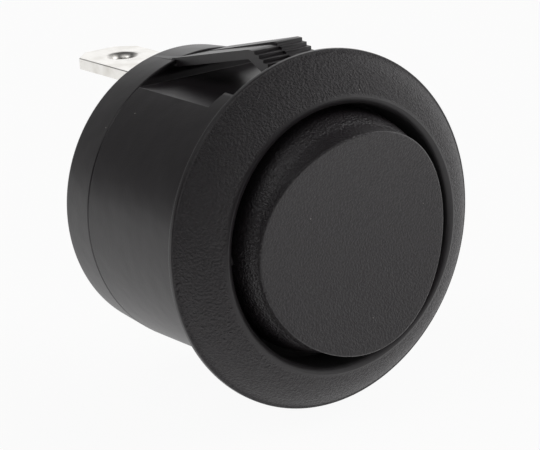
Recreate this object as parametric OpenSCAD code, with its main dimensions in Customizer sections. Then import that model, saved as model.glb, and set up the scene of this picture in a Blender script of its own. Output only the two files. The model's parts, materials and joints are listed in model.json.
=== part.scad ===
// Round snap-in panel rocker switch, single pole, on-off, with two tab terminals.
// The user's side faces -Y, the terminals point +Y and +Z is up.
// Origin: centre of the bezel's back face, where it seats on the panel.
// Round profiles are drawn as [radius, forward], where forward is -Y.

/* [Bezel] */
// Diameter of the bezel
bezel_d = 23; // [22:0.1:26]
// Thickness of the bezel's rim
rim_t = 0.45; // [0.3:0.05:0.9]
// Height of the bezel's crest above the panel
crest_h = 2.45; // [2:0.05:3.2]
// Width of the rounded lip between the well and the crest
lip_w = 0.6; // [0.3:0.05:1]
// Bulge of the bezel's face between rim and crest
bezel_bulge = 0.22; // [0.05:0.01:0.4]
// Diameter of the well that the rocker sits in
well_d = 16.7; // [16:0.1:17]

/* [Barrel] */
// Diameter of the barrel that passes through the panel
barrel_d = 19.7; // [19.2:0.1:20.4]
// Distance from the panel seat to the crease where the rear band starts
barrel_l = 11.7; // [11:0.1:14]
// Length of the rear band
band_l = 3.13; // [2.8:0.1:4]
// Draft of the rear band on the radius
band_draft = 0.24; // [0:0.02:0.4]
// Width and depth of the crease
crease = 0.12; // [0.05:0.01:0.2]
// Height of the locating collar over the barrel
collar_h = 0.1; // [0.05:0.01:0.2]
// Length of the locating collar
collar_l = 0.35; // [0.2:0.05:0.6]
// Wall between the arm pockets and the inside
pocket_wall = 0.9; // [0.7:0.05:1.2]
// Thickness of the base that holds the terminals
base_t = 1.6; // [1.2:0.1:2]
// Depth of the recess in the base's rear face
recess_depth = 0.4; // [0.2:0.05:0.7]

/* [Snap arms] */
// Width of a snap arm at its ramp
arm_w = 3.9; // [3:0.1:4.5]
// How much wider a snap arm is at its root
arm_flare = 0.7; // [0:0.1:1]
// Thickness of a snap arm
arm_t = 0.6; // [0.5:0.05:0.8]
// How far the arm's crest stands proud of the barrel
arm_rise = 1.63; // [1:0.05:2]
// Drop of the lower half of the arm at its crest
arm_stagger = 0.16; // [0.05:0.01:0.3]
// Distance from the panel seat to the arm's crest
arm_crest_y = 3.9; // [3.2:0.05:4.5]
// Smallest panel thickness that the ramp grips
panel_min = 0.7; // [0.5:0.05:1.2]
// Fall of the ramp for each millimetre towards the bezel
ramp_fall = 0.46; // [0.3:0.02:0.5]
// Number of steps on the ramp
ramp_steps = 7; // [4:1:8]
// Depth of the pocket under an arm, below the barrel's skin
pocket_depth = 1.55; // [1.3:0.05:1.7]
// Distance from the panel seat to the step where the pocket widens
pocket_step_y = 3.7; // [3.2:0.1:4.5]
// Half the width of the pocket's narrow front end
pocket_neck = 4; // [3:0.1:4.5]

/* [Rocker] */
// Height of the rocker's face above the panel, at its middle
face_h = 3.5; // [3.2:0.05:4.2]
// Radius of the hollow curve of the face
face_curve_r = 19.2; // [16:0.1:30]
// Gap between the well and the rocker's skirt
rocker_gap = 0.45; // [0.3:0.05:0.6]
// How much the skirt spreads from the face to its foot
skirt_spread = 0.8; // [0.5:0.05:1]
// Wall of the rocker
rocker_wall = 1.3; // [1:0.1:1.6]
// Height of the rocking axis above the panel
pivot_h = 1.1; // [1:0.05:1.3]
// Radius of the trunnions
trunnion_r = 0.5; // [0.4:0.05:0.6]
// Engagement of each trunnion in the bezel
trunnion_l = 0.45; // [0.3:0.05:0.6]
// Tilt of the rocker to each side of its middle, in degrees
rocker_tilt = 2.5; // [2:0.1:3]

/* [Plunger] */
// Diameter of the plunger
plunger_d = 2.8; // [2.4:0.1:3]
// Length of the plunger
plunger_l = 6.4; // [5.5:0.1:6.8]
// Radius of the plunger's tip
tip_r = 0.9; // [0.7:0.05:1.1]
// Wall of the stem round the plunger
stem_wall = 0.85; // [0.6:0.05:1.2]
// How far the plunger stands out of the stem
plunger_reach = 2.6; // [2.2:0.1:3.2]
// Wire diameter of the plunger's spring
wire_d = 0.35; // [0.2:0.05:0.45]
// Turns of the plunger's spring
spring_turns = 6; // [4:1:7]

/* [Terminals and contacts] */
// Width of the tabs
tab_w = 4.8; // [4:0.1:5.2]
// Thickness of the terminals
tab_t = 0.8; // [0.5:0.05:1]
// Length of the tabs behind the base
tab_l = 9.9; // [8:0.1:12]
// Spacing of the two tabs
tab_pitch = 7.5; // [7:0.1:7.7]
// Corner cut of the tab's end
tab_corner = 1.2; // [0.6:0.1:1.6]
// Diameter of the hole in a tab
tab_hole_d = 1.5; // [1.2:0.1:1.8]
// Distance from the tab's end to its hole
tab_hole_in = 2.95; // [2.4:0.05:3.4]
// Thickness of the see-saw contact arm
seesaw_t = 0.8; // [0.6:0.05:1]
// Width of the see-saw
seesaw_w = 4.4; // [4:0.1:5]
// Gap between the see-saw's corners and the barrel's inside
seesaw_gap = 0.25; // [0.2:0.05:0.5]
// Tilt of the see-saw to each side of its middle, in degrees
seesaw_tilt = 8; // [7:0.5:9]
// Diameter of the contact heads
contact_d = 2.6; // [2.2:0.1:2.8]
// Height of each contact head
contact_h = 0.6; // [0.5:0.05:0.8]

/* [Hidden] */
$fn = 96;
eps = 0.01;

// Clearances of the fits
run_gap = 0.05;      // trunnions, plunger and fulcrum
seat_gap = 0.02;     // riveted and inserted metal parts
contact_gap = 0.03;  // between the closed contacts
tip_gap = 0.1;       // plunger tip to see-saw
ledge_gap = 0.19;    // rocker foot to the well's floor, fully tilted

// Housing
bezel_r = bezel_d / 2;
barrel_r = barrel_d / 2;
well_r = well_d / 2;
crest_r = well_r + lip_w;
rear_y = barrel_l + band_l;
floor_y = rear_y - base_t;
pocket_z = barrel_r - pocket_depth;
pocket_end_y = barrel_l - crease;
neck_wall = 0.9;               // wall behind the bezel, in front of the pocket
neck_z = well_r + 0.75;        // floor of the pocket beside that wall
cavity_r = pocket_z - pocket_wall;
well_floor_y = 0.15;
rim_round = 0.12;
lip_round = 0.28;
rear_round = 0.3;
recess_r = barrel_r - band_draft - 1.2;
boss_margin = 0.8;

// Snap arm, side view in [y, z]; its lower half sets the underside of both
arm_root_y = barrel_l + 0.4;
arm_root_z = barrel_r - 0.25;
arm_crest_z = barrel_r + arm_rise;
arm_slope = (arm_crest_z - arm_stagger - arm_root_z) / (arm_root_y - arm_crest_y);
arm_drop = arm_t / cos(atan(arm_slope));
ramp_l = arm_crest_y - panel_min;
ramp_pitch = ramp_l / ramp_steps;

// Rocker, drawn level and then tilted about the pivot
skirt_r = well_r - rocker_gap;
face_r = skirt_r - skirt_spread;
face_top = face_h + face_curve_r - sqrt(face_curve_r * face_curve_r - face_r * face_r);
foot_f = skirt_r * sin(rocker_tilt) + ledge_gap - well_floor_y;
skirt_foot_h = 0.45;
skirt_f = face_h - 0.3;        // where the straight side of the rocker ends
inner_r = face_r - rocker_wall + 0.3;
face_bite = 0.5;               // how far the stem and ribs run into the face
rib_t = 1;
rib_bite = 0.3;                // and the ribs into the stem and the wall
pivot_y = -pivot_h;
socket_r = trunnion_r + run_gap;
trunnion_start = skirt_r - 0.8;  // rooted in the rocker's wall
trunnion_end = well_r + trunnion_l;

// Contact mechanism
foot_y = floor_y - tab_t;                     // front face of the load terminal's foot
fulcrum_r = tab_t / 2;
groove_r = fulcrum_r + run_gap;
seesaw_back = 0.15;                           // fulcrum's centre to the see-saw's back
seesaw_front = seesaw_back + seesaw_t;
seesaw_end = 0.3;                             // metal outside the contact
seesaw_reach = sqrt(pow(cavity_r - seesaw_gap, 2) - pow(seesaw_w / 2, 2));
contact_arm = seesaw_reach - contact_d / 2 - seesaw_end;
dome_r = 5;
dome_reach = dome_r + (contact_h - seesaw_back - dome_r) * cos(seesaw_tilt)
    + contact_arm * sin(seesaw_tilt);
dome_z = contact_arm * cos(seesaw_tilt)
    - (contact_h - seesaw_back - dome_r) * sin(seesaw_tilt);
fulcrum_y = foot_y - contact_h - contact_gap - dome_reach;
tip_l = ((fulcrum_y - pivot_y) * cos(seesaw_tilt) - seesaw_front - tip_r - tip_gap)
    / cos(rocker_tilt + seesaw_tilt);         // pivot to the centre of the tip
shank_r = 0.8;
peen_h = 0.3;
peen_r = shank_r + 0.35;
foot_end = 0.5;                               // foot below the fixed contact
coin_depth = 0.25;                            // lead-in of the tab's hole
coin_flare = 0.45;                            // and how much wider it is, on the radius
shoulder = 0.9;                               // common terminal's shoulder, on each side
tip_start = 20;                               // angle at which the plunger's round tip starts
nose_l = 0.8;                                 // straight part of the plunger outside the stem

// Plunger and spring, measured backwards from the pivot along the stem
plunger_r = plunger_d / 2;
bore_r = plunger_r + run_gap;
stem_r = bore_r + stem_wall;
plunger_end = tip_l + tip_r;
plunger_start = plunger_end - plunger_l;
stem_end = plunger_end - plunger_reach;
bore_start = -(face_h + pivot_y - rocker_wall);
spring_r = plunger_r - wire_d / 2 - 0.1;
spring_start = bore_start + run_gap;
spring_l = plunger_start - run_gap - spring_start;

function bow(a, b, sag, steps) =
    let (d = b - a, c = norm(d), r = c * c / (8 * sag) + sag / 2, h = asin(c / 2 / r),
         m = (a + b) / 2, u = d / c, v = [-u[1], u[0]])
    [for (i = [0:steps]) let (t = -h + 2 * h * i / steps)
        m + u * r * sin(t) + v * (r * cos(t) - (r - sag))];

function round_corner(centre, r, from, to, steps = 5) =
    [for (i = [0:steps]) let (t = from + (to - from) * i / steps)
        centre + r * [cos(t), sin(t)]];

// Turns a [radius, forward] profile about the switch's axis
module turned(profile) {
    rotate([90, 0, 0]) rotate_extrude() polygon(profile);
}

// Disc about the switch's axis, from y0 back to y1
module disc(r, y0, y1) {
    translate([0, y1, 0]) rotate([90, 0, 0]) cylinder(r = r, h = y1 - y0);
}

// Block centred on x = 0
module block(w, y0, y1, z0, z1) {
    translate([-w / 2, y0, z0]) cube([w, y1 - y0, z1 - z0]);
}

module both_ends() {
    children();
    mirror([0, 0, 1]) children();
}

module both_sides() {
    children();
    mirror([1, 0, 0]) children();
}

module housing_blank() {
    rim_front = rim_t - rim_round;
    turned(concat(
        [[0, -rear_y]],
        round_corner([barrel_r - band_draft - rear_round, rear_round - rear_y], rear_round, -90, 0),
        [[barrel_r, -barrel_l], [barrel_r, -collar_l], [barrel_r + collar_h, -collar_l],
         [barrel_r + collar_h, 0]],
        round_corner([bezel_r - rim_round, rim_round], rim_round, -90, 0, 3),
        round_corner([bezel_r - rim_round, rim_front], rim_round, 0, 60, 3),
        bow([bezel_r - 1.4 * rim_round, rim_t], [crest_r, crest_h], -bezel_bulge, 8),
        bow([crest_r, crest_h], [well_r, crest_h - lip_round], -0.08, 5),
        [[0, crest_h - lip_round]]
    ));
}

module well_and_cavity() {
    disc(well_r, -crest_h - 1, well_floor_y);
    disc(cavity_r, -crest_h - 1, floor_y);
}

module crease_ring() {
    rotate([90, 0, 0])
        rotate_extrude()
            translate([barrel_r - crease, -barrel_l])
                square([1, crease]);
}

module arm_pocket() {
    top = arm_crest_z + 1;
    block(2 * barrel_r, pocket_step_y, pocket_end_y, pocket_z, top);
    block(2 * pocket_neck, neck_wall, pocket_step_y + eps, pocket_z, top);
    block(2 * pocket_neck, 0, neck_wall + eps, neck_z, top);
}

// Steps from a crest at height z down to the tip, as [y, z]; phase shifts them along
function ramp_stair(z, phase) = [
    for (i = [0:ramp_steps - 1])
        for (k = [0, 1])
            let (s = min(ramp_l, (i + phase + k) * ramp_pitch))
            [arm_crest_y - s, z - i * ramp_pitch * ramp_fall]
];

// One half of the arm's width, from the middle out to the side
module arm_half(crest_z, phase) {
    under_z = arm_crest_z - arm_stagger - arm_drop;
    rotate([90, 0, 90])
        linear_extrude(arm_w / 2 + arm_flare / 2)
            polygon(concat(
                [[arm_root_y, arm_root_z], [arm_crest_y, crest_z]],
                ramp_stair(crest_z, phase),
                [[panel_min, under_z - ramp_l * ramp_fall], [arm_crest_y, under_z],
                 [arm_root_y, arm_root_z - arm_drop]]
            ));
}

// Outline of the arm in [x, y]
module arm_plan() {
    w = arm_w / 2;
    polygon([
        [-w, 0], [w, 0], [w, arm_crest_y], [w + arm_flare / 2, arm_root_y],
        [-w - arm_flare / 2, arm_root_y], [-w, arm_crest_y]
    ]);
}

module snap_arm() {
    intersection() {
        linear_extrude(arm_crest_z + 1) arm_plan();
        union() {
            translate([-eps, 0, 0]) arm_half(arm_crest_z, 0);
            mirror([1, 0, 0]) arm_half(arm_crest_z - arm_stagger, 0.5);
        }
    }
}

module tab_slot(z) {
    block(tab_w + 2 * seat_gap, floor_y - eps, rear_y + 1, z - tab_t / 2 - seat_gap,
        z + tab_t / 2 + seat_gap);
}

// Room in the base for the foot of the load terminal
module foot_room() {
    block(tab_w + 2 * seat_gap, foot_y - seat_gap, floor_y, 0, tab_pitch + tab_t / 2 + seat_gap);
}

module base_recess() {
    difference() {
        disc(recess_r, rear_y - recess_depth, rear_y + 1);
        for (z = [0, tab_pitch])
            block(tab_w + 2 * boss_margin, 0, rear_y + 2, z - tab_t / 2 - boss_margin,
                z + tab_t / 2 + boss_margin);
    }
}

module trunnion_socket() {
    translate([0, pivot_y, 0]) rotate([0, 90, 0])
        cylinder(r = socket_r, h = trunnion_end + run_gap);
}

module housing() {
    color([0.14, 0.137, 0.145]) {
        difference() {
            housing_blank();
            well_and_cavity();
            crease_ring();
            both_ends() arm_pocket();
            both_sides() trunnion_socket();
            for (z = [0, tab_pitch]) tab_slot(z);
            foot_room();
            base_recess();
        }
        both_ends() snap_arm();
    }
}

module face_cutter(extra) {
    translate([0, -face_h - face_curve_r, 0]) rotate([0, 90, 0])
        cylinder(r = face_curve_r + extra, h = 4 * skirt_r, center = true, $fn = 200);
}

module rocker_shell() {
    difference() {
        turned(concat(
            [[0, foot_f], [skirt_r, foot_f]],
            bow([skirt_r, foot_f + skirt_foot_h], [face_r, skirt_f], 0.15, 8),
            [[face_r, face_top + 1], [0, face_top + 1]]
        ));
        face_cutter(0);
        difference() {
            disc(inner_r, -face_top, 1);
            face_cutter(rocker_wall);
        }
    }
}

module trunnion() {
    translate([trunnion_start, pivot_y, 0]) rotate([0, 90, 0])
        cylinder(r = trunnion_r, h = trunnion_end - trunnion_start);
}

module stem_rib() {
    block(rib_t, face_bite - face_h, -foot_f, stem_r - rib_bite, inner_r + rib_bite);
}

module rocker() {
    color([0.157, 0.153, 0.16])
        translate([0, pivot_y, 0]) rotate([rocker_tilt, 0, 0]) translate([0, -pivot_y, 0])
            difference() {
                union() {
                    rocker_shell();
                    both_sides() trunnion();
                    both_ends() stem_rib();
                    disc(stem_r, face_bite - face_h, pivot_y + stem_end);
                }
                disc(bore_r, pivot_y + bore_start, pivot_y + stem_end + 1);
            }
}

// The plunger and its spring lie along the tilted stem
module on_stem() {
    translate([0, pivot_y, 0]) rotate([rocker_tilt - 90, 0, 0]) children();
}

module plunger() {
    color([0.85, 0.84, 0.8])
        on_stem()
            rotate_extrude()
                polygon(concat(
                    [[0, plunger_start], [plunger_r, plunger_start], [plunger_r, stem_end + nose_l]],
                    round_corner([0, tip_l], tip_r, tip_start, 90, 7)
                ));
}

// Open coil with closed ends, swept as one tube
module plunger_spring() {
    sides = 8;
    per_turn = 20;
    rings = spring_turns * per_turn;
    rise = spring_l - wire_d;
    function ring(i) =
        let (t = i / rings, a = 360 * spring_turns * t,
             e = 1 / spring_turns,
             h = t < e ? 0.55 * t * t / e : t > 1 - e ? 1 - 0.55 * (1 - t) * (1 - t) / e
                 : 0.55 * e + (t - e) * (1 - 1.1 * e) / (1 - 2 * e))
        [for (k = [0:sides - 1]) let (b = 360 * k / sides, r = spring_r + wire_d / 2 * cos(b))
            [r * cos(a), r * sin(a), spring_start + wire_d / 2 + rise * h + wire_d / 2 * sin(b)]];
    points = [for (i = [0:rings]) each ring(i)];
    skin = [for (i = [0:rings - 1]) for (k = [0:sides - 1])
        let (a = i * sides + k, b = i * sides + (k + 1) % sides)
        each [[a, b, a + sides], [b, b + sides, a + sides]]];
    caps = [[for (k = [sides - 1:-1:0]) k], [for (k = [0:sides - 1]) rings * sides + k]];
    color([0.7, 0.7, 0.7]) on_stem() polyhedron(points, concat(skin, caps));
}

// The see-saw and its contact are tilted about the fulcrum
module on_fulcrum() {
    translate([0, fulcrum_y, 0]) rotate([-seesaw_tilt, 0, 0]) children();
}

module seesaw() {
    color([0.72, 0.45, 0.25])
        on_fulcrum()
            difference() {
                block(seesaw_w, -seesaw_front, -seesaw_back, -seesaw_reach, seesaw_reach);
                rotate([0, 90, 0]) cylinder(r = groove_r, h = 2 * seesaw_w, center = true);
                translate([0, 0, contact_arm]) rotate([90, 0, 0])
                    cylinder(r = shank_r + seat_gap, h = 2 * seesaw_front);
            }
}

// Head towards +Y, shank forward through a plate of thickness t
module rivet(t, head, crown) {
    rotate([90, 0, 0])
        rotate_extrude()
            polygon(concat(
                [[0, t], [shank_r, t], [shank_r, 0], [contact_d / 2, 0]],
                [[contact_d / 2, crown - head]],
                crown == 0 ? [] : round_corner([0, dome_r - head], dome_r,
                    -90 + asin(contact_d / 2 / dome_r), -90, 4),
                [[0, -head]]
            ));
}

module moving_contact() {
    crown = dome_r - sqrt(dome_r * dome_r - contact_d * contact_d / 4);
    color([0.85, 0.85, 0.84])
        on_fulcrum()
            translate([0, -seesaw_back, contact_arm]) {
                rivet(seesaw_t + peen_h, contact_h, crown);
                disc(peen_r, -seesaw_t - peen_h, -seesaw_t - seat_gap);
            }
}

module fixed_contact() {
    color([0.85, 0.85, 0.84])
        translate([0, foot_y, dome_z]) rotate([0, 0, 180]) rivet(tab_t, contact_h, 0);
}

// Tab outline in [x, y], from y0 back to the tapered end
module tab(y0) {
    end_y = rear_y + tab_l;
    w = tab_w / 2;
    translate([0, 0, -tab_t / 2])
        difference() {
            linear_extrude(tab_t)
                polygon([
                    [-w, y0], [w, y0], [w, end_y - tab_corner], [w - tab_corner, end_y],
                    [tab_corner - w, end_y], [-w, end_y - tab_corner]
                ]);
            translate([0, end_y - tab_hole_in, -1]) cylinder(d = tab_hole_d, h = tab_t + 2);
            translate([0, end_y - tab_hole_in, tab_t - coin_depth])
                cylinder(d1 = tab_hole_d, d2 = tab_hole_d + 2 * coin_flare, h = coin_depth + eps);
        }
}

module common_terminal() {
    color([0.86, 0.86, 0.84]) {
        tab(fulcrum_y);
        translate([0, fulcrum_y, 0]) rotate([0, 90, 0])
            cylinder(r = fulcrum_r, h = tab_w, center = true);
        block(tab_w + 2 * shoulder, foot_y, floor_y, -tab_t / 2, tab_t / 2);
    }
}

module load_terminal() {
    color([0.86, 0.86, 0.84]) {
        difference() {
            union() {
                translate([0, 0, tab_pitch]) tab(foot_y);
                block(tab_w, foot_y, floor_y, dome_z - contact_d / 2 - foot_end, tab_pitch);
            }
            translate([0, 0, dome_z]) disc(shank_r + seat_gap, 0, floor_y + eps);
        }
    }
}

housing();
rocker();
plunger();
plunger_spring();
seesaw();
moving_contact();
fixed_contact();
common_terminal();
load_terminal();
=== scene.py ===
import json
from math import asin, atan, cos, hypot, pi, radians, sin, sqrt

import bmesh
import bpy
from mathutils import Matrix, Vector


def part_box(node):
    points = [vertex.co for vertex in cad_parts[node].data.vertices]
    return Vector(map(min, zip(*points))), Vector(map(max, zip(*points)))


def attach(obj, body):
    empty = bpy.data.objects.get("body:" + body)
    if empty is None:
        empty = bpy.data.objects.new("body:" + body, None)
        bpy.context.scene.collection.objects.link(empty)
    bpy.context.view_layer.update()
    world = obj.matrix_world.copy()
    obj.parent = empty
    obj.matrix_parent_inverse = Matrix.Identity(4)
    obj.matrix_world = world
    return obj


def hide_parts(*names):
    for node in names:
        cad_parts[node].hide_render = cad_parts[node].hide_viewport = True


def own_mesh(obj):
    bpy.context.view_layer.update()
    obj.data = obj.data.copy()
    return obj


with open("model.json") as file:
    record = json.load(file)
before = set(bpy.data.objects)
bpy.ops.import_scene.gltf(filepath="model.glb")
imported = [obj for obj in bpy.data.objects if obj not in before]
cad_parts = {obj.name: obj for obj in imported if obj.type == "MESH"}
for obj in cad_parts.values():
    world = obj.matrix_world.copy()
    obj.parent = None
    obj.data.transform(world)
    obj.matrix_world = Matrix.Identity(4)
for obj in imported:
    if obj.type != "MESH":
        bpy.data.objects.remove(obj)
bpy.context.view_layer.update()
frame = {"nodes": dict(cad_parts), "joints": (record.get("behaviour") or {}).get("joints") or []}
mm = 0.001
joints = {joint["name"]: joint for joint in frame["joints"]}
print("frame loaded:", len(frame["nodes"]), "nodes")


# Profile points are (radius, forward) in mm, where forward is -Y.

def arc(centre, radius, start, end, steps=5):
    turns = [radians(start + (end - start) * i / steps) for i in range(steps + 1)]
    return [(centre[0] + radius * cos(t), centre[1] + radius * sin(t)) for t in turns]


def bow(a, b, sag, steps=12):  # an arc from a to b that stands sag proud of the straight line
    chord = hypot(b[0] - a[0], b[1] - a[1])
    radius = chord * chord / (8 * sag) + sag / 2
    half = asin(chord / 2 / radius)
    middle = ((a[0] + b[0]) / 2, (a[1] + b[1]) / 2)
    along = ((b[0] - a[0]) / chord, (b[1] - a[1]) / chord)
    across = (-along[1], along[0])
    points = []
    for i in range(steps + 1):
        t = -half + 2 * half * i / steps
        u, v = radius * sin(t), radius * cos(t) - (radius - sag)
        points.append((middle[0] + along[0] * u + across[0] * v,
                       middle[1] + along[1] * u + across[1] * v))
    return points


def newPiece(name, mesh):
    piece = bpy.data.objects.new(name, mesh)
    bpy.context.scene.collection.objects.link(piece)
    return piece


def fromBmesh(name, work):
    bmesh.ops.recalc_face_normals(work, faces=work.faces)
    mesh = bpy.data.meshes.new(name)
    work.to_mesh(mesh)
    work.free()
    return newPiece(name, mesh)


def ringSolid(name, rings):
    # rings are lists of points of one length, or single points where the skin closes on the axis
    work = bmesh.new()
    made = [[work.verts.new(point) for point in ring] for ring in rings]
    for lower, upper in zip(made, made[1:]):
        count = max(len(lower), len(upper))
        if count == 1:
            continue
        for i in range(count):
            j = (i + 1) % count
            corners = [lower[i % len(lower)], lower[j % len(lower)],
                       upper[j % len(upper)], upper[i % len(upper)]]
            work.faces.new(list(dict.fromkeys(corners)))
    return fromBmesh(name, work)


def turned(name, profile, segments):  # turned about the Y axis
    rings = []
    for radius, forward in profile:
        if radius < 1e-6:
            rings.append([(0, -forward * mm, 0)])
            continue
        angles = [2 * pi * i / segments for i in range(segments)]
        rings.append([(radius * cos(a) * mm, -forward * mm, radius * sin(a) * mm) for a in angles])
    return ringSolid(name, rings)


def block(name, low, high):
    work = bmesh.new()
    bmesh.ops.create_cube(work, size=1)
    for vertex in work.verts:
        for k in range(3):
            vertex.co[k] = (low[k] if vertex.co[k] < 0 else high[k]) * mm
    return fromBmesh(name, work)


def extruded(name, outline, plane, low, high):
    # outline is in the two axes that plane names, and the third axis runs from low to high
    axes = ["XYZ".index(letter) for letter in plane]
    third = 3 - sum(axes)
    work = bmesh.new()
    ends = []
    for level in (low, high):
        ring = []
        for u, v in outline:
            point = [0, 0, 0]
            point[axes[0]], point[axes[1]], point[third] = u * mm, v * mm, level * mm
            ring.append(work.verts.new(point))
        ends.append(ring)
        work.faces.new(ring)
    count = len(outline)
    for i in range(count):
        j = (i + 1) % count
        work.faces.new([ends[0][i], ends[0][j], ends[1][j], ends[1][i]])
    return fromBmesh(name, work)


def applyModifiers(piece):
    bpy.context.view_layer.update()
    shaped = piece.evaluated_get(bpy.context.evaluated_depsgraph_get())
    mesh = bpy.data.meshes.new_from_object(shaped)
    piece.modifiers.clear()
    piece.data = mesh
    return piece


def combine(piece, tools, operation):
    for tool in tools:
        boolean = piece.modifiers.new("combine", "BOOLEAN")
        boolean.operation = operation
        boolean.solver = "EXACT"
        boolean.object = tool
        applyModifiers(piece)
        bpy.data.objects.remove(tool)
    return piece


def roundEdges(piece, width, angle=28, segments=2):
    bevel = piece.modifiers.new("round", "BEVEL")
    bevel.width = width * mm
    bevel.segments = segments
    bevel.limit_method = "ANGLE"
    bevel.angle_limit = radians(angle)
    bevel.miter_outer = "MITER_ARC"
    bevel.harden_normals = False
    return applyModifiers(piece)


def mirrored(piece, axis):
    piece.data.transform(Matrix.Scale(-1, 4, axis))
    piece.data.flip_normals()
    return piece


def smooth(piece, angle=32):
    for face in piece.data.polygons:
        face.use_smooth = True
    piece.data.set_sharp_from_angle(angle=radians(angle))
    weighted = piece.modifiers.new("normals", "WEIGHTED_NORMAL")
    weighted.keep_sharp = True
    return piece


def place(piece, body, material, node):
    piece.data.materials.clear()
    piece.data.materials.append(material)
    for face in piece.data.polygons:
        face.material_index = 0
    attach(piece, body)
    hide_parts(node)


def linear(code):  # an sRGB hex code as linear colour
    channels = [int(code[i:i + 2], 16) / 255 for i in (1, 3, 5)]
    channels = (c / 12.92 if c <= 0.04045 else ((c + 0.055) / 1.055) ** 2.4 for c in channels)
    return tuple(channels) + (1,)


def addNode(tree, kind, settings=None):
    # a node or socket among the settings is linked, and anything else is set
    node = tree.nodes.new("ShaderNode" + kind)
    for key, value in (settings or {}).items():
        if isinstance(value, bpy.types.Node):
            value = value.outputs[0]
        if isinstance(value, bpy.types.NodeSocket):
            tree.links.new(value, node.inputs[key])
        elif isinstance(key, int) or key in node.inputs:
            node.inputs[key].default_value = value
        else:
            setattr(node, key, value)
    return node


def newMaterial(name):
    material = bpy.data.materials.new(name)
    material.use_nodes = True
    tree = material.node_tree
    tree.nodes.clear()
    return material, tree


softStep = {"interpolation_type": "SMOOTHSTEP"}
evenGrain = {"Detail": 2.0, "Roughness": 0.55}

# Black moulded nylon. The mould's smooth steel leaves a satin skin on the barrel, and its
# spark-eroded steel leaves an even grain on the bezel and the rocker, so that gloss breaks up
# into fine sparkle there. Lengths are in mm. The grains are drawn two to three times as coarse
# as real ones, which would be too small to show.
# The darkest tone is painted shade for the inside of the bezel's well.
nylon = {
    "black": "#252124", "grained": "#292528", "wellPaintedShade": "#161315", "ior": 1.53,
    "satinRoughness": 0.4, "wellRoughness": 0.85, "grainPits": 0.56, "grainTops": 0.44,
    "sideRoughness": 0.34, "facePits": 0.56, "faceTops": 0.38,
    "spark": 0.16, "sparkDepth": 0.17, "sideDepth": 0.1, "face": 0.14, "faceDepth": 0.07,
    "wave": 1.6, "waveDetail": 1.0, "waveDepth": 0.03, "skin": 0.16, "skinDepth": 0.006,
    "pitsFrom": 0.36, "pitsTo": 0.64,  # the heights of grain between which its gloss changes
    "grainFrom": 8.8, "grainTo": 9.1,  # the radii between which the bezel's grain fades in
    "bezelFrom": -0.5, "bezelTo": -0.35, "wellDepth": 0.8,  # along Y
    "wellRadius": 8.4,
    "sideFrom": -0.93, "sideTo": -0.8,  # the Y of the surface's direction where the side starts
    "dust": "#B9B5AE", "dustSpacing": 1.1, "dustSize": 0.035, "dustShare": 0.3,
    "dustRoughness": 0.8,
}


def dustSpecks(tree, where, form):  # a few pale specks of dust, far apart
    cells = addNode(tree, "TexVoronoi", {"Scale": 1 / (form["dustSpacing"] * mm), "Vector": where})
    near = addNode(tree, "Math", {"operation": "LESS_THAN", 0: cells.outputs["Distance"],
                                  1: form["dustSize"] / form["dustSpacing"]})
    red = addNode(tree, "SeparateColor", {"Color": cells.outputs["Color"]})
    some = addNode(tree, "Math", {"operation": "GREATER_THAN", 0: red, 1: 1 - form["dustShare"]})
    return addNode(tree, "Math", {"operation": "MULTIPLY", 0: near, 1: some})


def mouldedNylon(tree, form, where, tone, roughness, bumps):
    # bumps are (height, depth in mm, share), and dust lies over everything
    normal = None
    for height, depth, share in bumps:
        layer = {"Distance": depth * mm, "Height": height, "Strength": share}
        normal = addNode(tree, "Bump", {**layer, "Normal": normal} if normal else layer)
    specks = dustSpecks(tree, where, form)
    colour = addNode(tree, "Mix", {"data_type": "RGBA", 0: specks, 6: tone,
                                   7: linear(form["dust"])})
    roughness = addNode(tree, "MapRange", {"Value": specks, "To Min": roughness,
                                           "To Max": form["dustRoughness"]})
    shader = addNode(tree, "BsdfPrincipled", {
        "IOR": form["ior"], "Base Color": colour.outputs[2], "Roughness": roughness,
        "Normal": normal})
    addNode(tree, "OutputMaterial", {"Surface": shader})


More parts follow.
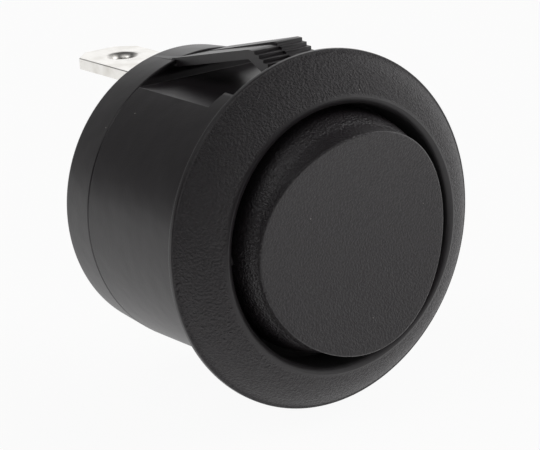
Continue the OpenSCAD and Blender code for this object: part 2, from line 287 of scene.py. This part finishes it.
def grainedBezel(name, form):
    # the housing: sparkling grain on the bezel, a plain lip, satin on the barrel, a dull well with
    # painted shade (a darker tone) inside
    material, tree = newMaterial(name)
    where = addNode(tree, "TexCoord").outputs["Object"]
    depth = addNode(tree, "SeparateXYZ", {"Vector": where}).outputs["Y"]
    flat = addNode(tree, "VectorMath", {"operation": "MULTIPLY", 0: where, 1: (1, 0, 1)})
    radius = addNode(tree, "VectorMath", {"operation": "LENGTH", 0: flat}).outputs["Value"]
    front = addNode(tree, "MapRange", {
        **softStep, "Value": depth, "From Min": form["bezelFrom"] * mm,
        "From Max": form["bezelTo"] * mm, "To Min": 1, "To Max": 0})
    outer = addNode(tree, "MapRange", {
        **softStep, "Value": radius, "From Min": form["grainFrom"] * mm,
        "From Max": form["grainTo"] * mm})
    bezel = addNode(tree, "Math", {"operation": "MULTIPLY", 0: front, 1: outer})
    plain = addNode(tree, "Math", {"operation": "SUBTRACT", 0: 1.0, 1: bezel})
    within = addNode(tree, "Math", {"operation": "LESS_THAN", 0: radius,
                                    1: form["wellRadius"] * mm})
    ahead = addNode(tree, "Math", {"operation": "LESS_THAN", 0: depth, 1: form["wellDepth"] * mm})
    well = addNode(tree, "Math", {"operation": "MULTIPLY", 0: within, 1: ahead})
    heights = {}
    for grain, more in (("spark", {}), ("wave", {"Detail": form["waveDetail"]}), ("skin", {})):
        heights[grain] = addNode(tree, "TexNoise", {
            **evenGrain, **more, "Scale": 1 / (form[grain] * mm), "Vector": where})
    pits = addNode(tree, "MapRange", {
        **softStep, "Value": heights["spark"], "From Min": form["pitsFrom"],
        "From Max": form["pitsTo"], "To Min": form["grainPits"], "To Max": form["grainTops"]})
    roughness = addNode(tree, "MapRange", {"Value": bezel, "To Min": form["satinRoughness"],
                                           "To Max": pits})
    roughness = addNode(tree, "MapRange", {"Value": well, "To Min": roughness,
                                           "To Max": form["wellRoughness"]})
    tone = addNode(tree, "Mix", {"data_type": "RGBA", 0: bezel, 6: linear(form["black"]),
                                 7: linear(form["grained"])})
    # painted shade: the inside of the well takes a darker tone than the rest of the moulding
    tone = addNode(tree, "Mix", {"data_type": "RGBA", 0: well, 6: tone.outputs[2],
                                 7: linear(form["wellPaintedShade"])})
    bumps = ((heights["wave"], form["waveDepth"], plain),
             (heights["skin"], form["skinDepth"], plain),
             (heights["spark"], form["sparkDepth"], bezel))
    mouldedNylon(tree, form, where, tone.outputs[2], roughness, bumps)
    return material


def satinRocker(name, form):
    # the rocker: fine, soft satin on its hollow face, coarser grain with more gloss on its sides
    material, tree = newMaterial(name)
    coordinates = addNode(tree, "TexCoord")
    where = coordinates.outputs["Object"]
    facing = addNode(tree, "SeparateXYZ", {"Vector": coordinates.outputs["Normal"]}).outputs["Y"]
    side = addNode(tree, "MapRange", {**softStep, "Value": facing, "From Min": form["sideFrom"],
                                      "From Max": form["sideTo"]})
    front = addNode(tree, "Math", {"operation": "SUBTRACT", 0: 1.0, 1: side})
    heights = {}
    for grain in ("spark", "face"):
        heights[grain] = addNode(tree, "TexNoise", {
            **evenGrain, "Scale": 1 / (form[grain] * mm), "Vector": where})
    pits = addNode(tree, "MapRange", {
        **softStep, "Value": heights["face"], "From Min": form["pitsFrom"],
        "From Max": form["pitsTo"], "To Min": form["facePits"], "To Max": form["faceTops"]})
    roughness = addNode(tree, "MapRange", {"Value": side, "To Min": pits,
                                           "To Max": form["sideRoughness"]})
    bumps = ((heights["face"], form["faceDepth"], front),
             (heights["spark"], form["sideDepth"], side))
    mouldedNylon(tree, form, where, linear(form["grained"]), roughness, bumps)
    return material


housingNylon = grainedBezel("blackNylonGrained", nylon)
rockerNylon = satinRocker("blackNylonSatin", nylon)

# Strip and wire: (bright, dull, roughness, spacing, length and depth of the drawn lines in mm).
# The lines are drawn about three times as coarse as real ones, so that they show.
metals = {
    "brightTinPlate": ("#F1EFEB", "#DEDBD5", 0.3, 0.09, 2.4, 0.004),  # milky mirror, soft clouds
    "rolledBronze": ("#C58A58", "#A86F45", 0.32, 0.09, 2.4, 0.004),  # warm and faintly streaked
    "silverRivet": ("#E9E7E2", "#CFCCC6", 0.28, 0.2, 0.2, 0.003),  # white and a little dimpled
    "drawnSpringWire": ("#B9B9BA", "#8F8F92", 0.3, 0.05, 0.05, 0.002),  # grey and clean
}
clouds = {"size": 1.4, "from": 0.35, "to": 0.75, "lineDetail": 3.0, "lineStrength": 0.6,
          "glossier": 0.06, "duller": 0.08}


def rolledMetal(name, bright, dull, roughness, spacing, length, depth):
    material, tree = newMaterial(name)
    where = addNode(tree, "TexCoord").outputs["Object"]
    stretch = tuple(1 / (size * mm) for size in (spacing, length, spacing))
    along = addNode(tree, "VectorMath", {"operation": "MULTIPLY", 0: where, 1: stretch})
    marks = addNode(tree, "TexNoise", {"Scale": 1.0, "Detail": clouds["lineDetail"],
                                       "Vector": along})
    cloud = addNode(tree, "TexNoise", {**evenGrain, "Scale": 1 / (clouds["size"] * mm),
                                       "Vector": where})
    patch = addNode(tree, "MapRange", {**softStep, "Value": cloud, "From Min": clouds["from"],
                                       "From Max": clouds["to"]})
    colour = addNode(tree, "Mix", {"data_type": "RGBA", 0: patch, 6: linear(bright),
                                   7: linear(dull)})
    gloss = addNode(tree, "MapRange", {"Value": marks, "To Min": roughness - clouds["glossier"],
                                       "To Max": roughness + clouds["duller"]})
    normal = addNode(tree, "Bump", {"Distance": depth * mm, "Strength": clouds["lineStrength"],
                                    "Height": marks})
    shader = addNode(tree, "BsdfPrincipled", {
        "Metallic": 1.0, "Base Color": colour.outputs[2], "Roughness": gloss, "Normal": normal})
    addNode(tree, "OutputMaterial", {"Surface": shader})
    return material


acetal = {"milk": "#E4E1D8", "cream": "#D9D5CA", "ior": 1.48, "flow": 0.8, "flowDepth": 0.004,
          "creamFrom": 0.3, "creamTo": 0.7, "glossyRoughness": 0.3, "dullRoughness": 0.4}


def naturalAcetal(name, form):
    # milky and a little waxy, with faint flow marks
    material, tree = newMaterial(name)
    where = addNode(tree, "TexCoord").outputs["Object"]
    flow = addNode(tree, "TexNoise", {**evenGrain, "Scale": 1 / (form["flow"] * mm),
                                      "Vector": where})
    patch = addNode(tree, "MapRange", {**softStep, "Value": flow, "From Min": form["creamFrom"],
                                       "From Max": form["creamTo"]})
    colour = addNode(tree, "Mix", {"data_type": "RGBA", 0: patch, 6: linear(form["milk"]),
                                   7: linear(form["cream"])})
    gloss = addNode(tree, "MapRange", {"Value": flow, "To Min": form["glossyRoughness"],
                                       "To Max": form["dullRoughness"]})
    normal = addNode(tree, "Bump", {"Distance": form["flowDepth"] * mm, "Strength": 1.0,
                                    "Height": flow})
    shader = addNode(tree, "BsdfPrincipled", {
        "IOR": form["ior"], "Base Color": colour.outputs[2], "Roughness": gloss,
        "Normal": normal})
    addNode(tree, "OutputMaterial", {"Surface": shader})
    return material


finishes = {name: rolledMetal(name, *values) for name, values in metals.items()}
finishes["naturalAcetal"] = naturalAcetal("naturalAcetal", acetal)
innerPieces = {"plunger": "naturalAcetal", "seesaw": "rolledBronze",
               "moving_contact": "silverRivet", "fixed_contact": "silverRivet"}
for node, name in innerPieces.items():
    for slot in frame["nodes"][node].material_slots:
        slot.material = finishes[name]
print("materials made")


# Housing: bezel, barrel and snap arms in one black moulding. Sizes are in mm.

housingBox = [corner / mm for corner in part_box("housing")]
housingForm = {
    "segments": 240, "bezelRadius": housingBox[1].x, "rimThickness": 0.45, "rimRound": 0.12,
    "rimTurn": 50, "crownInset": 0.15, "crownDrop": 0.01, "bulge": 0.22,
    "crestHeight": -housingBox[0].y, "crestRadius": 8.82, "crestDrop": 0.02, "crestWidth": 0.04,
    "lipRound": 0.26, "lipSag": 0.06, "wellRadius": 8.35, "wellFloor": 0.6, "cavityRadius": 7.4,
    "barrelRadius": 9.85, "barrelLength": 11.7, "edgeSoft": 0.03,
    "collarHeight": 0.1, "collarLength": 0.35, "crease": 0.12, "creaseDepth": 0.05,
    "bandDraft": 0.24, "rearY": housingBox[1].y, "rearRound": 0.3, "baseThickness": 1.6,
    "recessRadius": 8.41, "recessDepth": 0.4, "bossMargin": 0.8, "bossRound": 0.2, "slotGap": 0.02,
    "pocketFloor": 8.3, "pocketStep": 3.7, "pocketNeck": 4, "neckWall": 0.9, "neckFloor": 9.1,
    "neckOverlap": 0.2, "socketRadius": 0.55, "socketCentre": 7.85, "pocketRound": 0.06,
    "edgeRound": 0.05, "edgeAngle": 24, "weld": 0.002, "overshoot": 1, "pocketReach": 3,
}
tabForm = {
    "width": 4.8, "thickness": 0.8, "corner": 1.2, "edgeRound": 0.07, "seatDepth": 2,
    "holeRadius": 0.7, "holeIn": 2.95, "holeSoft": 0.02, "holeShoulder": 0.05,
    "coinRadius": 1.08, "coinDepth": 0.3, "coinLip": 0.06, "coinFall": 0.018, "punchRim": 0.3,
    "shoulderBehind": 0.4, "footOverlap": 0.1, "overshoot": 1,
}
pivot = Vector(joints["rocker_tilt"]["pos_m"])
tilt = -radians(joints["rocker_tilt"]["range_deg"][0]) / 2
tabBoxes = []  # what of each tab goes through the base and behind it
for node in ("common_terminal", "load_terminal"):
    low, high = (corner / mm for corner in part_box(node))
    half = tabForm["width"] / 2
    tabBoxes.append(((-half, housingForm["rearY"] - tabForm["seatDepth"],
                      high.z - tabForm["thickness"]), (half, high.y, high.z)))


def housingProfile(form):
    rim, rear, soft = form["rimRound"], form["rearY"], form["edgeSoft"]
    bezel, barrel, crease = form["bezelRadius"], form["barrelRadius"], form["crease"]
    lip, crest, length = form["lipRound"], form["crestHeight"], form["barrelLength"]
    band, groove = barrel - form["bandDraft"], barrel - form["creaseDepth"]
    collar, proud = form["collarLength"], barrel + form["collarHeight"]
    floor = form["baseThickness"] - rear
    return (
        [(0, -rear)]
        + arc((band - form["rearRound"], form["rearRound"] - rear), form["rearRound"], -90, 0, 6)
        + [(barrel - soft / 3, -length - 2 * soft), (barrel - soft, -length)]
        + [(groove, crease / 3 - length), (groove, 2 * crease / 3 - length)]
        + [(barrel - 2 * soft / 3, crease - length)]
        + [(barrel, crease - length + form["creaseDepth"])]
        + [(barrel, -collar - soft), (barrel + soft, -collar), (proud - soft, -collar)]
        + [(proud, soft - collar), (proud, 0)]
        + arc((bezel - rim, rim), rim, -90, 0, 5)
        + arc((bezel - rim, form["rimThickness"] - rim), rim, 0, form["rimTurn"], 5)
        + bow((bezel - form["crownInset"], form["rimThickness"] - form["crownDrop"]),
              (form["crestRadius"], crest - form["crestDrop"]), -form["bulge"], 20)
        + bow((form["crestRadius"] - form["crestWidth"], crest), (form["wellRadius"], crest - lip),
              -form["lipSag"], 8)
        + [(form["wellRadius"], -form["wellFloor"]), (form["cavityRadius"], -form["wellFloor"])]
        + [(form["cavityRadius"], floor), (0, floor)]
    )


def cutOuts(form):
    # arm pockets above and below, trunnion sockets, tab slots and the recess in the rear face
    tools = []
    end, outside = form["barrelLength"] - form["crease"], form["barrelRadius"] + form["pocketReach"]
    wall, step, neck = form["neckWall"], form["pocketStep"], form["pocketNeck"]
    half = form["barrelRadius"] + form["overshoot"]
    plan = [(-half, step), (-neck, step), (-neck, wall), (neck, wall), (neck, step), (half, step),
            (half, end), (-half, end)]
    for side in (1, -1):
        low, high = sorted((side * form["pocketFloor"], side * outside))
        tools.append(roundEdges(extruded("pocket", plan, "XY", low, high), form["pocketRound"]))
        low, high = sorted((side * form["neckFloor"], side * outside))
        tools.append(block("neck", (-neck, 0, low), (neck, wall + form["neckOverlap"], high)))
    over, hole = form["overshoot"], form["socketRadius"]
    for side in (1, -1):
        socket = turned("socket", [(0, -over), (hole, -over), (hole, over), (0, over)],
                        segments=48)
        socket.data.transform(Matrix.Translation((side * form["socketCentre"] * mm, pivot.y, 0))
                              @ Matrix.Rotation(pi / 2, 4, "Z"))
        tools.append(socket)
    rear, wide, floor = -form["rearY"], form["recessRadius"], form["recessDepth"] - form["rearY"]
    recess = turned("recess", [(0, rear - over), (wide, rear - over), (wide, floor), (0, floor)],
                    segments=160)
    margin, gap = form["bossMargin"], form["slotGap"]
    for (x0, y0, z0), (x1, y1, z1) in tabBoxes:
        boss = block("boss", (x0 - margin, 0, z0 - margin), (x1 + margin, y1, z1 + margin))
        combine(recess, [roundEdges(boss, form["bossRound"], segments=3)], "DIFFERENCE")
        tools.append(block("slot", (x0 - gap, y0, z0 - gap), (x1 + gap, y1, z1 + gap)))
    tools.append(recess)
    return tools


def roundCuts(piece, form):
    # a small radius on the long sharp edges that the pockets left on the barrel
    work = bmesh.new()
    work.from_mesh(piece.data)
    bmesh.ops.remove_doubles(work, verts=work.verts, dist=form["weld"] * mm)
    bmesh.ops.dissolve_degenerate(work, edges=work.edges, dist=form["weld"] * mm)
    keep = []
    for edge in work.edges:
        if len(edge.link_faces) != 2 or not edge.is_convex:
            continue
        middle = (edge.verts[0].co + edge.verts[1].co) / 2 / mm
        along = 0.2 < middle.y < form["barrelLength"] - 0.3  # clear of the bezel and the crease
        if (along and abs(middle.z) > form["pocketFloor"] - 0.1
                and edge.calc_face_angle(0) >= radians(form["edgeAngle"])):
            keep.append(edge)
    bmesh.ops.bevel(work, geom=keep, offset=form["edgeRound"] * mm, segments=2, profile=0.5,
                    affect="EDGES", clamp_overlap=True)
    work.to_mesh(piece.data)
    work.free()


armForm = {
    "rampWidth": 3.9, "flare": 0.7, "thickness": 0.6, "crestRise": 1.63, "stagger": 0.16,
    "crestY": 3.9, "tipY": 0.7, "rootY": 12.1, "rootRise": -0.25, "rampFall": 0.46, "steps": 7,
    "overlap": 0.01, "edgeRound": 0.045, "edgeAngle": 12,
}


def armHalf(form, side, drop, phase):
    crestZ = housingForm["barrelRadius"] + form["crestRise"]
    rootZ = housingForm["barrelRadius"] + form["rootRise"]
    lowCrest = crestZ - form["stagger"]
    slope = (lowCrest - rootZ) / (form["rootY"] - form["crestY"])
    thick = form["thickness"] / cos(atan(slope))
    length = form["crestY"] - form["tipY"]
    pitch = length / form["steps"]
    outline = [(form["rootY"], rootZ), (form["crestY"], crestZ - drop)]
    for i in range(form["steps"]):
        for k in (0, 1):
            back = min(length, (i + phase + k) * pitch)
            if back < length or k == 1:
                step = crestZ - drop - i * pitch * form["rampFall"]
                outline.append((form["crestY"] - back, step))
    under = lowCrest - thick
    outline += [(form["tipY"], under - length * form["rampFall"]), (form["crestY"], under),
                (form["rootY"], rootZ - thick)]
    outline = [point for i, point in enumerate(outline) if point != outline[i - 1]]
    half = extruded("armHalf", outline, "YZ", 0, form["rampWidth"] / 2)
    for vertex in half.data.vertices:  # the arm widens from the crest back to its root
        if vertex.co.x > 0 and vertex.co.y > form["crestY"] * mm:
            share = (vertex.co.y / mm - form["crestY"]) / (form["rootY"] - form["crestY"])
            vertex.co.x += share * form["flare"] / 2 * mm
    if side < 0:
        return mirrored(half, (1, 0, 0))
    half.data.transform(Matrix.Translation((-form["overlap"] * mm, 0, 0)))
    return half


def snapArm(form):
    arm = armHalf(form, 1, drop=0, phase=0)
    combine(arm, [armHalf(form, -1, drop=form["stagger"], phase=0.5)], "UNION")
    return roundEdges(arm, form["edgeRound"], form["edgeAngle"])


housing = turned("switchHousing", housingProfile(housingForm), housingForm["segments"])
combine(housing, cutOuts(housingForm), "DIFFERENCE")
roundCuts(housing, housingForm)
combine(housing, [snapArm(armForm)], "UNION")
combine(housing, [mirrored(snapArm(armForm), (0, 0, 1))], "UNION")
place(smooth(housing), "housing", housingNylon, "housing")
print("housing made:", len(housing.data.polygons), "faces")


# Rocker: hollow-faced cap with its skirt, stem, ribs and trunnions

rockerForm = {
    "segments": 216, "faceHeight": 3.5, "hollowRadius": 19.2, "faceRadius": 7.15, "edgeRound": 0.12,
    "faceSteps": 17, "sideTop": 3.2, "sideBow": 0.15, "skirtRadius": 7.9, "footForward": 0.385,
    "footHeight": 0.12, "footRound": 0.08, "lift": 0.12, "wall": 1.3, "innerRadius": 6.1,
    "innerSteps": (1, 0.7, 0.35), "stemRadius": 2.3, "stemBore": 1.45, "stemEnd": 6.98,
    "stemStart": -2.2, "stemSoft": 0.1, "root": 0.5, "ribHalf": 0.5, "ribBite": 0.3,
    "ribShort": 0.8, "ribRound": 0.06, "trunnionRadius": 0.42, "trunnionStart": 7.1,
    "trunnionEnd": 8.8, "trunnionSoft": 0.12,
}


def hollow(form, z, extra=0):  # how far forward the hollow face lies at height z
    radius = form["hollowRadius"]
    return form["faceHeight"] + radius - sqrt((radius + extra) ** 2 - z * z)


def rockerSection(form, angle):
    edge, fillet, steps = form["faceRadius"], form["edgeRound"], form["faceSteps"]
    z = edge * sin(angle)
    slope = z * sin(angle) / sqrt(form["hollowRadius"] ** 2 - z * z)
    centre = (edge - fillet, hollow(form, z) - slope * fillet - fillet * hypot(1, slope))
    foot, skirt, inner = form["footForward"], form["skirtRadius"], form["innerRadius"]
    rim = arc(centre, fillet, 90 + atan(slope) * 180 / pi, 0, 7)
    section = []
    for i in range(1, steps):
        radius = rim[0][0] * i / steps
        section.append((radius, hollow(form, radius * sin(angle))))
    soft = form["footRound"]
    section += rim
    section += bow((edge, form["sideTop"]), (skirt, foot + form["footHeight"]), form["sideBow"])
    section += arc((skirt - soft, foot + soft), soft, 0, -90, 3)
    section += arc((inner + soft, foot + soft), soft, -90, -180, 3)
    section += [(inner * share, hollow(form, inner * share * sin(angle), form["wall"]))
                for share in form["innerSteps"]]
    return section


def rockerInside(form):
    start, end, bore = form["root"] - form["faceHeight"], form["stemEnd"], form["stemBore"]
    radius, soft = form["stemRadius"], form["stemSoft"]
    parts = [turned("stem", [(0, -start), (radius, -start), (radius, soft - end),
                             (radius - soft, -end), (bore + soft, -end), (bore, soft - end),
                             (bore, -form["stemStart"]), (0, -form["stemStart"])],
                    segments=64)]
    wide, pin, begin = form["ribHalf"], form["trunnionRadius"], form["trunnionStart"]
    tip, soft = form["trunnionEnd"], form["trunnionSoft"]
    for side in (1, -1):
        low, high = sorted((side * (radius - form["ribBite"]),
                            side * (form["faceRadius"] - form["ribShort"])))
        rib = block("rib", (-wide, start, low), (wide, -form["footForward"], high))
        parts.append(roundEdges(rib, form["ribRound"]))
        trunnion = turned("trunnion", [(0, begin), (pin, begin), (pin, tip - soft),
                                       (pin - soft, tip), (0, tip)], segments=48)
        trunnion.data.transform(Matrix.Translation((0, pivot.y, 0))
                                @ Matrix.Rotation(side * pi / 2, 4, "Z"))
        parts.append(trunnion)
    return parts


def rockerCap(form):
    angles = [2 * pi * i / form["segments"] for i in range(form["segments"])]
    sections = [rockerSection(form, angle) for angle in angles]
    rings = [[(0, -form["faceHeight"] * mm, 0)]]
    for k in range(len(sections[0])):
        rings.append([(section[k][0] * cos(a) * mm, -section[k][1] * mm,
                       section[k][0] * sin(a) * mm) for section, a in zip(sections, angles)])
    rings.append([(0, -(form["faceHeight"] - form["wall"]) * mm, 0)])
    cap = ringSolid("rockerCap", rings)
    cap.data.transform(Matrix.Translation((0, 0, form["lift"] * mm)))
    return combine(cap, rockerInside(form), "UNION")


rocker = rockerCap(rockerForm)
rocker.data.transform(Matrix.Translation(pivot) @ Matrix.Rotation(tilt, 4, "X")
                      @ Matrix.Translation(-pivot))
place(smooth(rocker), "rocker", rockerNylon, "rocker")
print("rocker made:", len(rocker.data.polygons), "faces")


# Terminals: stamped and plated tabs, with a coined hole in each

def tabBlade(form, start, top):
    end, half, thick = tabBoxes[0][1][1], form["width"] / 2, form["thickness"]
    outline = [(-half, start), (half, start), (half, end - form["corner"]),
               (half - form["corner"], end), (form["corner"] - half, end),
               (-half, end - form["corner"])]
    blade = extruded("blade", outline, "XY", top - thick, top)
    roundEdges(blade, form["edgeRound"], segments=3)
    hole, coin, lip = form["holeRadius"], form["coinRadius"], form["coinLip"]
    deep, over, outer = form["coinDepth"], form["overshoot"], coin + lip + form["punchRim"]
    punch = turned("punch", [(0, over), (outer, over), (outer, 0), (coin + lip, 0),
                             (coin, -form["coinFall"]), (hole + form["holeSoft"], -deep),
                             (hole, -deep - form["holeShoulder"]), (hole, lip - thick),
                             (hole + lip, -thick), (hole + lip, -thick - over),
                             (0, -thick - over)], segments=72)
    punch.data.transform(Matrix.Translation((0, (end - form["holeIn"]) * mm, top * mm))
                         @ Matrix.Rotation(-pi / 2, 4, "X"))
    return combine(blade, [punch], "DIFFERENCE")


def commonTerminal(form):
    (_, footY, bottom), (_, _, top) = tabBoxes[0]
    low, high = (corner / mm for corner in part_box("common_terminal"))
    half, radius, back = form["width"] / 2, form["thickness"] / 2, footY + form["shoulderBehind"]
    blade = tabBlade(form, low.y + radius, top)
    edge = turned("edge", [(0, -half), (radius, -half), (radius, half), (0, half)],
                  segments=40)
    edge.data.transform(Matrix.Translation((0, (low.y + radius) * mm, 0))
                        @ Matrix.Rotation(pi / 2, 4, "Z"))
    shoulder = block("shoulder", (low.x, back - form["thickness"], bottom), (high.x, back, top))
    return combine(blade, [edge, roundEdges(shoulder, form["edgeRound"])], "UNION")


def loadTerminal(form):
    top, thick = tabBoxes[1][1][2], form["thickness"]
    low, high = (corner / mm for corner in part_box("load_terminal"))
    blade = tabBlade(form, low.y + form["footOverlap"], top)
    foot = block("foot", (low.x, low.y, low.z), (high.x, low.y + thick, top - thick / 2))
    return combine(blade, [roundEdges(foot, form["edgeRound"])], "UNION")


for make, name, node in ((commonTerminal, "commonTab", "common_terminal"),
                         (loadTerminal, "loadTab", "load_terminal")):
    terminal = make(tabForm)
    terminal.name = name
    place(smooth(terminal), "housing", finishes["brightTinPlate"], node)
print("terminals made")


# Spring: the coil rides the rocker


def plungerCoil():
    wound = frame["nodes"]["plunger_spring"]
    coil = newPiece("plungerCoil", wound.data.copy())
    coil.data.transform(wound.matrix_world)
    place(coil, "rocker", finishes["drawnSpringWire"], "plunger_spring")
    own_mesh(coil)
    return coil


spring = plungerCoil()
print("spring made:", len(spring.data.polygons), "faces")


cameraView = {
    "azimuth": -34.9, "elevation": 16.39, "roll": -3.54, "distance": 170 * mm, "lens": 181.1,
    "target": (-2.68 * mm, 1.62 * mm, 0.54 * mm), "clipStart": 5 * mm,
}


def addCamera(view):
    azimuth, elevation, roll = (radians(view[k]) for k in ("azimuth", "elevation", "roll"))
    forward = Vector((-sin(azimuth) * cos(elevation), cos(azimuth) * cos(elevation),
                      -sin(elevation)))
    camera = newPiece("camera", bpy.data.cameras.new("camera"))
    turn = forward.to_track_quat("-Z", "Y").to_matrix().to_4x4() @ Matrix.Rotation(roll, 4, "Z")
    stand = Vector(view["target"]) - forward * view["distance"]
    camera.matrix_world = Matrix.Translation(stand) @ turn
    camera.data.lens = view["lens"]
    camera.data.clip_start = view["clipStart"]
    bpy.context.scene.camera = camera


# Soft boxes are round glows in the world: the way to each, how tight it is, and its strength.
studio = {
    "floorZ": -11.6, "floorThickness": 2, "floorReach": 900, "paper": "#F4F3F1",
    "paperGlow": 0.94, "cardTop": 18, "cardTone": "#2B2B2B",
    "card": ((-50, -6), (-46, -30), (-32, -50), (-8, -58)),
    "glows": (((-0.62, 0.12, 0.78), 40, 4.0), ((-0.3, -0.25, 0.9), 24, 1.5),
              ((0.7, -0.3, 0.65), 24, 3.5), ((1, -1, 0), 6, 1.35), ((1, 0, 0), 6, 1.1),
              ((1, 1, 0), 6, 1.0), ((0, 1, 0), 6, 0.7), ((1, 1, 1), 6, 0.2),
              ((0.55, 0.79, 0.25), 24, 0.6)),
}


def paperSweep(form):
    # matt white paper; it looks white to the eye and in gloss, and still takes the shadow
    material, tree = newMaterial("paperSweep")
    rays = addNode(tree, "LightPath")
    seen = addNode(tree, "Math", {"operation": "ADD", 0: rays.outputs["Is Camera Ray"],
                                  1: rays.outputs["Is Glossy Ray"]})
    seen = addNode(tree, "Math", {"operation": "ADD", "use_clamp": True, 0: seen,
                                  1: rays.outputs["Is Transmission Ray"]})
    share = addNode(tree, "Math", {"operation": "MULTIPLY", 0: seen, 1: form["paperGlow"]})
    matt = addNode(tree, "BsdfDiffuse", {"Color": linear(form["paper"])})
    glow = addNode(tree, "Emission", {"Strength": 1})
    both = addNode(tree, "MixShader", {0: share, 1: matt, 2: glow})
    addNode(tree, "OutputMaterial", {"Surface": both})
    return material


def darkCard(form):
    # a matt card at the front left that the camera can't see; it shades the bezel's left side
    work = bmesh.new()
    feet, tops = ([work.verts.new((x * mm, y * mm, z * mm)) for x, y in form["card"]]
                  for z in (form["floorZ"], form["cardTop"]))
    for i in range(len(feet) - 1):
        work.faces.new([feet[i], feet[i + 1], tops[i + 1], tops[i]])
    card = fromBmesh("darkCard", work)
    material, tree = newMaterial("darkCard")
    matt = addNode(tree, "BsdfDiffuse", {"Color": linear(form["cardTone"])})
    addNode(tree, "OutputMaterial", {"Surface": matt})
    card.data.materials.append(material)
    card.visible_camera = False


def addStudio(form):
    reach, top = form["floorReach"], form["floorZ"]
    floor = block("floor", (-reach, -reach, top - form["floorThickness"]), (reach, reach, top))
    floor.data.materials.append(paperSweep(form))
    darkCard(form)


def addWorld(form):
    world = bpy.data.worlds.new("softBoxes")
    bpy.context.scene.world = world
    world.use_nodes = True
    tree = world.node_tree
    tree.nodes.clear()
    way = addNode(tree, "TexCoord").outputs["Generated"]
    total = 0.0
    for aim, tightness, strength in form["glows"]:
        toward = tuple(Vector(aim).normalized())
        share = addNode(tree, "VectorMath", {"operation": "DOT_PRODUCT", 0: way, 1: toward})
        share = addNode(tree, "Math", {"operation": "MAXIMUM", 0: share.outputs["Value"], 1: 0.0})
        share = addNode(tree, "Math", {"operation": "POWER", 0: share, 1: tightness})
        total = addNode(tree, "Math", {"operation": "MULTIPLY_ADD", 0: share, 1: strength,
                                       2: total})
    background = addNode(tree, "Background", {"Strength": total})
    addNode(tree, "OutputWorld", {"Surface": background})


addCamera(cameraView)
addStudio(studio)
addWorld(studio)
print("camera, light and floor made")

bpy.context.scene.view_settings.view_transform = "Standard"
